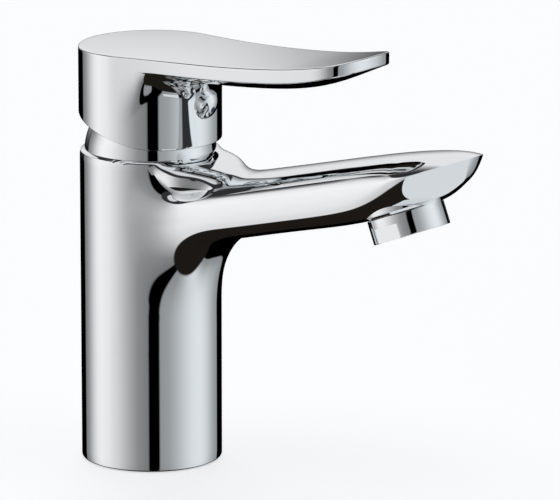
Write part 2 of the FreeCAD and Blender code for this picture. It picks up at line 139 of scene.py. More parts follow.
class Skin:
    """Collects patches of quads, in millimetres, and welds them into one clean mesh."""

    def __init__(self, name: str) -> None:
        """Starts an empty skin for a piece of this name."""
        self.name = name
        self.points: list[Points] = []
        self.faces: list[tuple[int, ...]] = []
        self.count = 0

    def patch(self, grid: Points, wrap: bool = False) -> "Skin":
        """Adds a grid of points as quads.

        Args:
            grid: rows by columns by 3.
            wrap: whether the last column joins the first.

        Returns:
            This skin, so that calls can follow each other.
        """
        rows, columns = grid.shape[:2]
        index = np.arange(rows * columns).reshape(rows, columns) + self.count
        nxt = np.roll(index, -1, axis=1) if wrap else index[:, 1:]
        cur = index if wrap else index[:, :-1]
        quads = np.stack([cur[:-1], nxt[:-1], nxt[1:], cur[1:]], -1).reshape(-1, 4)
        self.faces.extend(map(tuple, quads.tolist()))
        self.points.append(grid.reshape(-1, 3))
        self.count += rows * columns
        return self

    def plate(self, outer: Points, holes: list[Points]) -> "Skin":
        """Adds a flat plate between an outer ring of points and round holes.

        Args:
            outer: points of the outer edge.
            holes: rings of points, one to a hole.

        Returns:
            This skin, so that calls can follow each other.
        """
        work = bmesh.new()
        for ring in [outer] + holes:
            verts = [work.verts.new(p) for p in ring]
            for a, b in zip(verts, verts[1:] + verts[:1]):
                work.edges.new((a, b))
        bmesh.ops.triangle_fill(work, edges=work.edges[:], use_beauty=True)
        work.verts.index_update()
        self.faces.extend(tuple(v.index + self.count for v in face.verts) for face in work.faces)
        self.points.append(np.array([v.co[:] for v in work.verts]))
        self.count += len(work.verts)
        work.free()
        return self

    def finish(self, material: bpy.types.Material, body: Body, slot: str, replaces: tuple[str, ...] = (),
               sharp_deg: float = 32.0, weld_mm: float = 0.002) -> bpy.types.Object:
        """Makes the object, rides it on its body and hides the CAD nodes that it stands for.

        Args:
            material: the finish.
            body: the body that it rides on.
            slot: the record's material slot; not used.
            replaces: CAD nodes that it stands for.
            sharp_deg: edges that turn by more than this stay crisp.
            weld_mm: points closer than this are one.

        Returns:
            The new object.
        """
        mesh = bpy.data.meshes.new(self.name)
        mesh.from_pydata((np.concatenate(self.points) * MM).tolist(), [], self.faces)
        work = bmesh.new()
        work.from_mesh(mesh)
        bmesh.ops.remove_doubles(work, verts=work.verts[:], dist=weld_mm * MM)
        bmesh.ops.dissolve_degenerate(work, edges=work.edges[:], dist=weld_mm * MM)
        bmesh.ops.recalc_face_normals(work, faces=work.faces[:])
        open_edges = sum(not edge.is_manifold for edge in work.edges)
        work.to_mesh(mesh)
        work.free()
        mesh.shade_smooth()
        mesh.set_sharp_from_angle(angle=math.radians(sharp_deg))
        mesh.materials.append(material)
        piece = bpy.data.objects.new(self.name, mesh)
        bpy.context.collection.objects.link(piece)
        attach(piece, body.value)
        if replaces:
            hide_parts(*replaces)
        LOG.info("%s: %d faces, %d open edges", self.name, len(mesh.polygons), open_edges)
        return piece


# ---------------------------------------------------------------- shader helpers
class Tree:
    """Small wrapper that adds and links nodes."""

    def __init__(self, tree: bpy.types.NodeTree) -> None:
        """Wraps a node tree."""
        self.tree = tree

    def add(self, kind: str, inputs: dict | None = None, **settings: object) -> bpy.types.Node:
        """Adds a node, sets its properties and fills or links its inputs.

        Args:
            kind: Blender's node type.
            inputs: socket name or number to a value, or to an output socket to link.
            **settings: node properties.

        Returns:
            The new node.
        """
        node = self.tree.nodes.new(kind)
        for key, value in settings.items():
            setattr(node, key, value)
        for key, value in (inputs or {}).items():
            if isinstance(value, bpy.types.NodeSocket):
                self.link(value, node.inputs[key])
            else:
                node.inputs[key].default_value = value
        return node

    def link(self, output: bpy.types.NodeSocket, socket: bpy.types.NodeSocket) -> None:
        """Links an output to an input."""
        self.tree.links.new(output, socket)

    def math(self, operation: str, a: object, b: object = 0.0, c: object = 0.0) -> bpy.types.NodeSocket:
        """Adds a Math node and returns its output."""
        return self.add("ShaderNodeMath", {0: a, 1: b, 2: c}, operation=operation).outputs[0]

    def mix(self, share: object, one: object, other: object) -> bpy.types.NodeSocket:
        """Mixes two colours and returns the result."""
        return self.add("ShaderNodeMix", {"Factor": share, 6: one, 7: other}, data_type="RGBA").outputs[2]

    def spread(self, value: object, low: float, high: float, to_low: float = 0.0,
               to_high: float = 1.0) -> bpy.types.NodeSocket:
        """Maps a value from one range onto another with smooth ends.

        Args:
            value: the value or socket to map.
            low: start of its range.
            high: end of its range.
            to_low: result at the start.
            to_high: result at the end.

        Returns:
            The mapped value.
        """
        node = self.add("ShaderNodeMapRange", {"Value": value, "From Min": low, "From Max": high,
                                               "To Min": to_low, "To Max": to_high})
        node.interpolation_type = "SMOOTHSTEP"
        return node.outputs["Result"]

    def noise(self, vector: object, scale: float, detail: float = 2.0) -> bpy.types.NodeSocket:
        """Adds a noise texture and returns its value."""
        inputs = {"Vector": vector, "Scale": scale, "Detail": detail}
        return self.add("ShaderNodeTexNoise", inputs).outputs["Fac"]


def effect_group(name: str, inputs: dict[str, float],
                 outputs: tuple[str, ...]) -> tuple[Tree, bpy.types.Node, bpy.types.Node]:
    """Starts a shader node group with a Vector input, named numbers in and named numbers out.

    Args:
        name: the group's name.
        inputs: names of the numbers that go in, with their first values.
        outputs: names of the numbers that come out.

    Returns:
        The group's tree, its input node and its output node.
    """
    group = bpy.data.node_groups.new(name, "ShaderNodeTree")
    group.interface.new_socket("Vector", in_out="INPUT", socket_type="NodeSocketVector")
    for label, value in inputs.items():
        socket = group.interface.new_socket(label, in_out="INPUT", socket_type="NodeSocketFloat")
        socket.default_value = value
    for label in outputs:
        group.interface.new_socket(label, in_out="OUTPUT", socket_type="NodeSocketFloat")
    tree = Tree(group)
    return tree, tree.add("NodeGroupInput"), tree.add("NodeGroupOutput")


def plating_group() -> bpy.types.NodeTree:
    """Polished plating: faint wiping haze in the roughness and the soft wave of hand polishing.

    Returns:
        The group, with roughness and height.
    """
    tree, given, out = effect_group("polished_plating", {"Base": 0.03, "Haze": 0.05, "Wave": 1.0},
                                    ("Roughness", "Height"))
    vector = given.outputs["Vector"]
    wipes = tree.noise(vector, 70.0, 4.0)
    specks = tree.noise(vector, 900.0, 2.0)
    smear = tree.spread(wipes, 0.45, 0.75)
    film = tree.math("MULTIPLY", smear, tree.spread(specks, 0.3, 0.8, 0.4, 1.0))
    rough = tree.math("MULTIPLY_ADD", film, given.outputs["Haze"], given.outputs["Base"])
    wave = tree.math("MULTIPLY", tree.noise(vector, 45.0, 1.0), given.outputs["Wave"])
    tree.link(rough, out.inputs["Roughness"])
    tree.link(wave, out.inputs["Height"])
    return tree.tree


def moulded_group() -> bpy.types.NodeTree:
    """Moulded surface: fine grain, slow colour drift and a duller patch here and there.

    Returns:
        The group, with roughness, height and colour drift.
    """
    tree, given, out = effect_group("moulded_surface", {"Base": 0.4, "Grain": 2200.0},
                                    ("Roughness", "Height", "Drift"))
    vector = given.outputs["Vector"]
    grain = tree.noise(vector, 1.0, 3.0)
    tree.link(given.outputs["Grain"], grain.node.inputs["Scale"])
    slow = tree.noise(vector, 60.0, 3.0)
    rough = tree.math("ADD", given.outputs["Base"], tree.spread(slow, 0.3, 0.7, -0.05, 0.07))
    tree.link(rough, out.inputs["Roughness"])
    tree.link(grain, out.inputs["Height"])
    tree.link(tree.spread(slow, 0.25, 0.75), out.inputs["Drift"])
    return tree.tree


def tooling_group() -> bpy.types.NodeTree:
    """Turned or drawn metal: fine rings round the upright axis, with slight tarnish.

    Returns:
        The group, with roughness, height and tarnish.
    """
    tree, given, out = effect_group("tool_marks", {"Base": 0.25, "Pitch": 5000.0},
                                    ("Roughness", "Height", "Tarnish"))
    vector = given.outputs["Vector"]
    stretched = tree.add("ShaderNodeMapping", {"Vector": vector, "Scale": (0.02, 0.02, 1.0)})
    lines = tree.noise(stretched.outputs["Vector"], 1.0, 2.0)
    tree.link(given.outputs["Pitch"], lines.node.inputs["Scale"])
    cloud = tree.noise(vector, 90.0, 4.0)
    rough = tree.math("ADD", given.outputs["Base"], tree.spread(cloud, 0.3, 0.7, -0.06, 0.08))
    tree.link(rough, out.inputs["Roughness"])
    tree.link(lines, out.inputs["Height"])
    tree.link(tree.spread(cloud, 0.35, 0.75), out.inputs["Tarnish"])
    return tree.tree


class Effects:
    """The shared shader groups, each built once."""

    def __init__(self) -> None:
        """Builds the groups."""
        self.plating = plating_group()
        self.moulded = moulded_group()
        self.tooling = tooling_group()

    @staticmethod
    def place(tree: Tree, group: bpy.types.NodeTree, values: dict[str, float]) -> bpy.types.Node:
        """Puts a group into a material with its own values.

        Args:
            tree: the material's tree.
            group: the shared effect.
            values: numbers for its inputs.

        Returns:
            The group's node.
        """
        coords = tree.add("ShaderNodeTexCoord")
        node = tree.add("ShaderNodeGroup")
        node.node_tree = group
        tree.link(coords.outputs["Object"], node.inputs["Vector"])
        for key, value in values.items():
            node.inputs[key].default_value = value
        return node


def new_material(name: str) -> tuple[bpy.types.Material, Tree]:
    """Makes a material with an empty tree.

    Args:
        name: the material's name.

    Returns:
        The material and its tree.
    """
    material = bpy.data.materials.new(name)
    material.use_nodes = True
    material.node_tree.nodes.clear()
    return material, Tree(material.node_tree)


class Finish:
    """A material with a Principled shader whose roughness and bump come from a shared effect."""

    def __init__(self, name: str, group: bpy.types.NodeTree, values: dict[str, float], strength: float,
                 depth_mm: float) -> None:
        """Makes the material.

        Args:
            name: the material's name.
            group: the shared effect.
            values: the effect's own numbers here.
            strength: strength of the bump.
            depth_mm: depth of the bump, in millimetres.
        """
        self.material, self.tree = new_material(name)
        self.shader = self.tree.add("ShaderNodeBsdfPrincipled")
        self.tree.add("ShaderNodeOutputMaterial", {"Surface": self.shader.outputs["BSDF"]})
        self.effect = Effects.place(self.tree, group, values)
        bump = self.tree.add("ShaderNodeBump", {"Height": self.effect.outputs["Height"], "Strength": strength,
                                                "Distance": depth_mm * MM})
        self.tree.link(self.effect.outputs["Roughness"], self.shader.inputs["Roughness"])
        self.tree.link(bump.outputs["Normal"], self.shader.inputs["Normal"])

    def two_tones(self, share: str, one: tuple[float, ...], other: tuple[float, ...]) -> None:
        """Mixes the base colour by one of the effect's outputs."""
        colour = self.tree.mix(self.effect.outputs[share], (*one, 1), (*other, 1))
        self.tree.link(colour, self.shader.inputs["Base Color"])

    def set(self, values: dict[str, float]) -> bpy.types.Material:
        """Sets constants on the shader and returns the material.

        Args:
            values: names of the shader's inputs, with their values.

        Returns:
            The material.
        """
        for key, value in values.items():
            self.shader.inputs[key].default_value = value
        return self.material


@dataclass(frozen=True)
class Chrome:
    """Polished chrome plate."""

    name: str
    tint: Colour = (0.93, 0.94, 0.945)
    base_roughness: float = 0.015
    haze: float = 0.03
    wave_mm: float = 0.0006
    bump: float = 0.3

    def build(self, effects: Effects) -> bpy.types.Material:
        """Makes the material.

        Args:
            effects: the shared effects.

        Returns:
            The material.
        """
        values = {"Base": self.base_roughness, "Haze": self.haze}
        finish = Finish(self.name, effects.plating, values, self.bump, self.wave_mm)
        return finish.set({"Base Color": (*self.tint, 1), "Metallic": 1.0})


@dataclass(frozen=True)
class Moulded:
    """Moulded plastic, rubber or ceramic."""

    name: str
    colour: Colour
    deep: Colour
    roughness: float = 0.4
    grain_mm: float = 0.004
    coat: float = 0.0
    sheen: float = 0.0
    scatter: float = 0.0
    scatter_mm: float = 2.0
    bump: float = 0.5

    def build(self, effects: Effects) -> bpy.types.Material:
        """Makes the material.

        Args:
            effects: the shared effects.

        Returns:
            The material.
        """
        finish = Finish(self.name, effects.moulded, {"Base": self.roughness}, self.bump, self.grain_mm)
        finish.two_tones("Drift", self.colour, self.deep)
        return finish.set({"Coat Weight": self.coat, "Sheen Weight": self.sheen,
                           "Subsurface Weight": self.scatter, "Subsurface Scale": self.scatter_mm * MM})


@dataclass(frozen=True)
class Machined:
    """Bare machined metal."""

    name: str
    colour: Colour
    tarnish: Colour
    roughness: float = 0.25
    mark_mm: float = 0.006
    bump: float = 0.4

    def build(self, effects: Effects) -> bpy.types.Material:
        """Makes the material.

        Args:
            effects: the shared effects.

        Returns:
            The material.
        """
        finish = Finish(self.name, effects.tooling, {"Base": self.roughness}, self.bump, self.mark_mm)
        finish.two_tones("Tarnish", self.colour, self.tarnish)
        return finish.set({"Metallic": 1.0})


# ---------------------------------------------------------------- column and spout
@dataclass
class Column:
    """The round column: its outer skin, foot and chamber, in millimetres."""

    radius: float = 25.0
    top: float = 112.4
    rim: float = 1.6
    foot_round: float = 0.8
    chamber_r: float = 17.7
    chamber_floor: float = 79.0
    nut_bore_r: float = 20.5
    shoulder: float = 106.0
    hollow_r: float = 20.5
    hollow_h: float = 46.0
    groove: tuple[float, float, float] = (21.6, 23.9, 2.0)
    thread_depth: float = 12.0
    thread_pitch: float = 1.0
    holes: tuple[tuple[float, float, float], ...] = ((-8.5, -5.0, 4.5), (8.5, -5.0, 4.5), (0.0, 11.0, 3.4))

    def sheet(self, arc: Points, s: Points) -> Points:
        """Points of the skin laid out flat: up the side, over the rounded rim and in along the land.

        Args:
            arc: distance round the column from the middle of the front.
            s: distance up the skin from the foot.

        Returns:
            Points in space.
        """
        arc, s = np.broadcast_arrays(np.asarray(arc, float), np.asarray(s, float))
        turn = self.top - self.rim
        quarter = self.rim * math.pi / 2
        bend = np.clip((s - turn) / self.rim, 0, math.pi / 2)
        r = self.radius - self.rim + self.rim * np.cos(bend) - np.maximum(s - turn - quarter, 0)
        z = np.minimum(s, turn) + self.rim * np.sin(bend)
        return np.stack([r * np.sin(arc / self.radius), -r * np.cos(arc / self.radius), z], -1)


@dataclass
class Spout:
    """The outside of the spout beyond the column, as upright sections along the reach."""

    end_start: float = 118.0
    end_length: float = 23.6
    crease_z: float = 120.0
    crease_slope: float = 0.37
    squareness: tuple[float, float, float] = (2.05, 3.0, 2.3)    # top, belly, nose
    fullness: tuple[float, float] = (0.39, 0.42)
    top: Stations = ((20, 103.6), (48, 110.4), (76, 117.25), (104, 124.05), (112, 125.8), (120, 127.3),
                     (128, 128.5), (135, 129.05), (141.6, 128.75))
    belly: Stations = ((20, 80.4), (48, 87.6), (76, 94.6), (94, 99.1), (104, 102.2), (114, 105.8),
                       (124, 109.9), (131, 114.0), (136, 118.3), (139.5, 122.9), (141.6, 128.7))
    width: Stations = ((20, 18.5), (60, 18.0), (100, 17.7), (118, 17.6))
    side: Stations = ((20, 90.0), (60, 99.3), (90, 107.3), (104, 112.3), (112, 116.6), (118, 120.0))
    sharpness: Stations = ((98, 0.0), (105, 0.02), (112, 0.16), (120, 0.48), (128, 0.8), (136, 1.0),
                           (142, 1.0))

    def at(self, reach: Points, v: Points) -> Points:
        """Points of the outside.

        Args:
            reach: distance from the column's axis.
            v: angle round the section, 0 at the +X side and a quarter turn at the top.

        Returns:
            Points in space.
        """
        reach = np.asarray(reach, float)
        along = np.clip((reach - self.end_start) / self.end_length, 0, 1)
        before = np.minimum(reach, self.end_start)
        half = smooth_line(self.width, before) * np.sqrt(np.maximum(0, 1 - along**2))
        edge = np.where(reach < self.end_start, smooth_line(self.side, before),
                        self.crease_z + self.crease_slope * (reach - self.end_start))
        high = np.maximum(smooth_line(self.top, reach), edge)
        low = np.minimum(smooth_line(self.belly, reach), edge)
        sharp = np.where(reach < 98, 0.0, np.clip(smooth_line(self.sharpness, reach), 0.0, 1.0))
        is_top = np.sin(v) >= 0
        square = np.where(is_top, *self.squareness[:2]) * (1 - sharp) + self.squareness[2] * sharp
        power = np.where(is_top, *self.fullness) * (1 - sharp) + sharp
        swell = np.maximum(0, 1 - np.abs(np.cos(v)) ** square) ** power
        z = np.where(np.sin(v) >= 0, edge + (high - edge) * swell, edge - (edge - low) * swell)
        return np.stack(np.broadcast_arrays(half * np.cos(v), -reach, z), -1)


@dataclass
class SpoutRoot:
    """The soft blend from the spout's section to the column's skin.

    Three values are for the top, the sides and the underside.
    """

    starts: tuple[float, float, float] = (52.0, 44.0, 50.0)
    pull_spout: tuple[float, float, float] = (1.2, 1.1, 1.3)
    pull_column: tuple[float, float, float] = (0.9, 1.1, 1.3)
    half_arc: float = 31.5
    s_top: float = 113.1
    s_mid: float = 90.0
    s_low: float = 49.0
    square_top: float = 5.5
    top_taper: float = 0.21
    corner_pull: tuple[float, float] = (0.5, 0.2)
    square_low: float = 2.1
    window_arc: float = 37.0
    window_top: float = 115.0
    window_low: float = 43.0

    @staticmethod
    def by_side(values: tuple[float, float, float], v: Points) -> Points:
        """Blends the top, side and underside values round the section.

        Args:
            values: at the top, the sides and the underside.
            v: angles round the section.

        Returns:
            The value at each angle.
        """
        up = np.maximum(np.sin(v), 0) ** 2
        down = np.maximum(-np.sin(v), 0) ** 2
        return values[0] * up + values[1] * (1 - up - down) + values[2] * down

    def heights(self, v: Points) -> tuple[Points, Points]:
        """Half heights of the oval and of the window, above or below the middle.

        Args:
            v: angles round the section.

        Returns:
            The oval's and the window's half height at each angle.
        """
        up = np.sin(v) >= 0
        oval = np.where(up, self.s_top - self.s_mid, self.s_mid - self.s_low)
        window = np.where(up, self.window_top - self.s_mid, self.s_mid - self.window_low)
        return oval, window

    def oval(self, v: Points) -> tuple[Points, Points]:
        """The line on the skin where the blend ends, as arc and s.

        Args:
            v: angles round the section.

        Returns:
            Distance round the column and up its skin.
        """
        c, s = np.abs(np.cos(v)), np.abs(np.sin(v))
        power = np.where(np.sin(v) >= 0, self.square_top, self.square_low)
        r = (c**power + s**power) ** (-1 / power)
        narrow = 1 - self.top_taper * np.maximum(r * np.sin(v), 0) ** 2
        return self.half_arc * r * narrow * np.cos(v), self.s_mid + self.heights(v)[0] * r * np.sin(v)

    def window(self, v: Points) -> tuple[Points, Points]:
        """The rectangle on the skin round the oval, as arc and s.

        Args:
            v: angles round the section.

        Returns:
            Distance round the column and up its skin.
        """
        oval, window = self.heights(v)
        with np.errstate(divide="ignore"):
            r = np.minimum(self.window_arc / (self.half_arc * np.abs(np.cos(v))),
                           window / (oval * np.abs(np.sin(v))))
        return self.half_arc * r * np.cos(v), self.s_mid + oval * r * np.sin(v)

    def blend(self, spout: Spout, column: Column, v: Points, rows: int) -> Points:
        """Grid from the spout's section to the oval, smooth at both ends.

        Args:
            spout: the spout that it leaves.
            column: the column that it lands on, with the column's own curvature.
            v: angles round the section.
            rows: rows of quads.

        Returns:
            Rows of points.
        """
        reach = self.by_side(self.starts, v)
        tiny = 0.01
        first = spout.at(reach, v)
        back = spout.at(reach - tiny, v) - first
        back /= np.linalg.norm(back, axis=-1, keepdims=True)
        arc, s = self.oval(v)
        last = column.sheet(arc, s)
        along = np.roll(arc, -1) - np.roll(arc, 1), np.roll(s, -1) - np.roll(s, 1)
        length = np.hypot(*along)
        onward = column.sheet(arc + along[1] / length * tiny, s - along[0] / length * tiny) - last
        onward /= np.linalg.norm(onward, axis=-1, keepdims=True)
        gap = np.linalg.norm(last - first, axis=-1, keepdims=True)
        corner = np.where(np.sin(v) > 0, np.sin(2 * v) ** 2, 0.0)
        leave = back * gap * (self.by_side(self.pull_spout, v) + self.corner_pull[0] * corner)[:, None]
        land = onward * gap * (self.by_side(self.pull_column, v) + self.corner_pull[1] * corner)[:, None]
        speed = np.linalg.norm(land, axis=-1)
        near = 0.5
        on_arc, on_s = along[1] / length * near, -along[0] / length * near
        bent = column.sheet(arc + on_arc, s + on_s) - 2 * last + column.sheet(arc - on_arc, s - on_s)
        bent *= (speed**2 * np.clip(1 - 2 * np.sin(v), 0, 1))[:, None] / near**2
        t = np.linspace(0, 1, rows + 1)[:, None, None]
        step = 10 * t**3 - 15 * t**4 + 6 * t**5
        return (first * (1 - step) + last * step + leave * (t - 6 * t**3 + 8 * t**4 - 3 * t**5)
                + land * (-4 * t**3 + 7 * t**4 - 3 * t**5) + bent * (t**3 - 2 * t**4 + t**5) / 2)


@dataclass
class Casting:
    """The plated brass casting: column, spout and the boss that the aerator screws into."""

    column: Column
    spout: Spout
    root: SpoutRoot
    outlet: "Outlet"
    side_columns: int = 44
    top_columns: int = 52
    low_columns: int = 44
    back_columns: int = 72
    root_rows: int = 56
    spout_rows: int = 45
    nose_rows: int = 39
    window_rows: int = 8

    def round_angles(self) -> tuple[Points, dict[str, slice]]:
        """Angles round the spout's section, with a column at each corner of the window.

        Returns:
            The angles, and the slice of them along each side of the window, ends included.
        """
        root = self.root
        wide = root.window_arc / root.half_arc
        top = math.atan2((root.window_top - root.s_mid) / (root.s_top - root.s_mid), wide)
        low = -math.atan2((root.s_mid - root.window_low) / (root.s_mid - root.s_low), wide)
        stops = [low, top, math.pi - top, math.pi - low, 2 * math.pi + low]
        counts = [self.side_columns, self.top_columns, self.side_columns, self.low_columns]
        runs = [np.linspace(a, b, n, endpoint=False) for a, b, n in zip(stops, stops[1:], counts)]
        ends = np.cumsum([0] + counts)
        names = ("right", "top", "left", "low")
        return np.concatenate(runs), {k: slice(a, b + 1) for k, a, b in zip(names, ends, ends[1:])}

    def build(self, chrome: bpy.types.Material) -> None:
        """Makes the skin of the casting and its boss.

        Args:
            chrome: the finish.
        """
        skin = Skin("casting_skin")
        v, sides = self.round_angles()
        spout, root, column = self.spout, self.root, self.column
        reach0 = root.by_side(root.starts, v)
        t = np.linspace(0, 1, self.spout_rows + 1)[:, None]
        skin.patch(spout.at(reach0 + (spout.end_start - reach0) * t, v), wrap=True)
        turn = np.linspace(0, math.pi / 2, self.nose_rows + 1)[:, None]
        skin.patch(spout.at(spout.end_start + spout.end_length * np.sin(turn), v), wrap=True)
        skin.patch(root.blend(spout, column, v, self.root_rows), wrap=True)
        t = np.linspace(0, 1, self.window_rows + 1)[:, None]
        oval, window = root.oval(v), root.window(v)
        skin.patch(column.sheet(*(a + (b - a) * t for a, b in zip(oval, window))), wrap=True)
        closed = {k: np.append(w, w[0]) for k, w in zip(("arc", "s"), window)}
        edge = {k: {side: w[cut] for side, cut in sides.items()} for k, w in closed.items()}
        round_way = 2 * math.pi * column.radius
        back = np.linspace(root.window_arc, round_way - root.window_arc, self.back_columns + 1)
        skin.patch(column.sheet(back[None, :], edge["s"]["right"][:, None]))
        above = np.concatenate([edge["arc"]["top"][::-1][:-1], back[:-1]]) / column.radius
        below = np.concatenate([edge["arc"]["low"][:-1], back[:-1]]) / column.radius
        self.add_top(skin, above)
        self.add_foot(skin, below)
        skin.finish(chrome, Body.BASE, "chrome_body", ("body",))
        self.outlet.add_boss(chrome)

    def add_top(self, skin: Skin, angles: Points) -> None:
        """Adds the land and the chamber inside the column.

        Args:
            skin: the casting's skin.
            angles: angles of the columns of quads round the axis.
        """
        c = self.column
        land = np.linalg.norm(c.sheet(0.0, self.root.window_top)[:2])
        profile = [(land, c.top), (c.nut_bore_r, c.top), (c.nut_bore_r, c.shoulder),
                   (c.chamber_r, c.shoulder), (c.chamber_r, c.chamber_floor), (0.0, c.chamber_floor)]
        skin.patch(turned(profile, angles), wrap=True)

    def add_foot(self, skin: Skin, angles: Points) -> None:
        """Adds the lower column, the foot with its gasket groove, and the hollow with its threaded holes.

        Args:
            skin: the casting's skin.
            angles: angles of the columns of quads round the axis.
        """
        c = self.column
        groove_in, groove_out, groove_h = c.groove
        bend = np.linspace(0, math.pi / 2, 6)
        foot = [(c.radius - c.foot_round * (1 - math.cos(a)), c.foot_round * (1 - math.sin(a))) for a in bend]
        side = [(c.radius, z) for z in np.linspace(self.root.window_low, c.foot_round, 16)[:-1]]
        inside = [(groove_out, 0.0), (groove_out, groove_h), (groove_in, groove_h), (groove_in, 0.0),
                  (c.hollow_r + 0.4, 0.0), (c.hollow_r, 0.4), (c.hollow_r, c.hollow_h)]
        grid = turned(side + foot + inside, angles)
        skin.patch(grid, wrap=True)
        rings = []
        for x, reach, r in c.holes:
            angle = np.linspace(0, 2 * math.pi, 33)[:-1]
            floor, half_turn = c.hollow_h, c.thread_pitch / 2
            profile = [(r + half_turn, floor), (r, floor + half_turn)]
            for z in np.arange(floor + c.thread_pitch, floor + c.thread_depth, c.thread_pitch):
                profile += [(r, z), (r + 0.35, z + half_turn)]
            profile += [(r, floor + c.thread_depth), (0.0, floor + c.thread_depth + c.thread_pitch)]
            hole = turned(profile, angle) + np.array([x, -reach, 0.0])
            skin.patch(hole, wrap=True)
            rings.append(hole[0])
        skin.plate(grid[-1], rings)


@dataclass
class Outlet:
    """The tilted outlet: boss, chromed aerator housing and the parts inside it."""

    reach: float = 112.1
    height: float = 105.8
    tilt_deg: float = 21.5
    radius: float = 13.6
    shown: float = 8.5
    flat_across: float = 12.7
    flat_height: float = 5.2
    joint_gap: float = 0.15
    bore_r: float = 10.4
    bore_end: float = 6.8
    lip_r: tuple[float, float] = (9.6, 9.4)
    thread_r: float = 11.4
    thread_end: float = -6.0
    boss_bore_r: float = 11.7
    boss_r: tuple[float, float] = (14.2, 13.7)      # side, edge
    boss_end: float = -7.5
    columns: int = 288

    def place(self, grid: Points) -> Points:
        """Moves a shape turned round an upright axis, heights measured outwards, onto the outlet's axis.

        Args:
            grid: points of the shape.

        Returns:
            The points in place.
        """
        tilt = math.radians(self.tilt_deg)
        across = np.array([1.0, 0.0, 0.0])
        forward = np.array([0.0, -math.cos(tilt), math.sin(tilt)])
        outward = np.array([0.0, -math.sin(tilt), -math.cos(tilt)])
        foot = np.array([0.0, -self.reach, self.height])
        return foot + grid[..., :1] * across - grid[..., 1:2] * forward + grid[..., 2:] * outward

    def ring(self, profile: Profile, columns: int = 160) -> Points:
        """Closed ring on the outlet's axis."""
        angles = np.linspace(0, 2 * math.pi, columns + 1)[:-1]
        return self.place(turned(profile, angles))

    def add_boss(self, chrome: bpy.types.Material) -> None:
        """Makes the short boss under the spout.

        Args:
            chrome: the finish.
        """
        bore, (side, edge), end = self.boss_bore_r, self.boss_r, self.boss_end
        profile = rounded([(bore, -3.0), (bore, end), (side, end), (side, -1.0), (edge, 0.0), (bore, 0.0),
                           (bore, -3.0)], 0.25)
        Skin("outlet_boss").patch(self.ring(profile), wrap=True).finish(chrome, Body.BASE, "chrome_body")

    def add_housing(self, chrome: bpy.types.Material) -> None:
        """Makes the aerator's housing with its two wrench flats and its thread inside the boss.

        Args:
            chrome: the finish.
        """
        bore, thread, gap = self.bore_r, self.thread_r, self.joint_gap
        profile = rounded([(bore, 3.0), (bore, self.thread_end), (thread, self.thread_end), (thread, gap),
                           (self.radius, gap), (self.radius, self.shown), (self.lip_r[0], self.shown),
                           (self.lip_r[1], self.bore_end), (bore, self.bore_end), (bore, 3.0)], 0.35)
        outer = [p for p in profile if p[0] > (thread + self.radius) / 2 and p[1] < self.shown - 0.6]
        ledge = self.shown - self.flat_height
        at = profile.index(outer[-1]) + 1
        steps = [(self.radius, h) for h in (ledge - 0.03, ledge, ledge + 0.02)]
        profile = profile[:at] + steps + [(self.radius, self.shown - 0.8)] + profile[at:]
        angles = np.linspace(0, 2 * math.pi, self.columns + 1)[:-1]
        grid = turned(profile, angles)
        limit = self.flat_across / np.maximum(np.abs(np.sin(angles)), 1e-3)
        radial = np.linalg.norm(grid[..., :2], axis=-1)
        cut = np.where(grid[..., 2] > ledge + 0.001, np.minimum(1.0, limit / np.maximum(radial, 1e-6)), 1.0)
        grid[..., :2] *= cut[..., None]
        Skin("aerator_housing_skin").patch(self.place(grid), wrap=True).finish(
            chrome, Body.BASE, "chrome_aerator", ("aerator_housing",), sharp_deg=25.0)


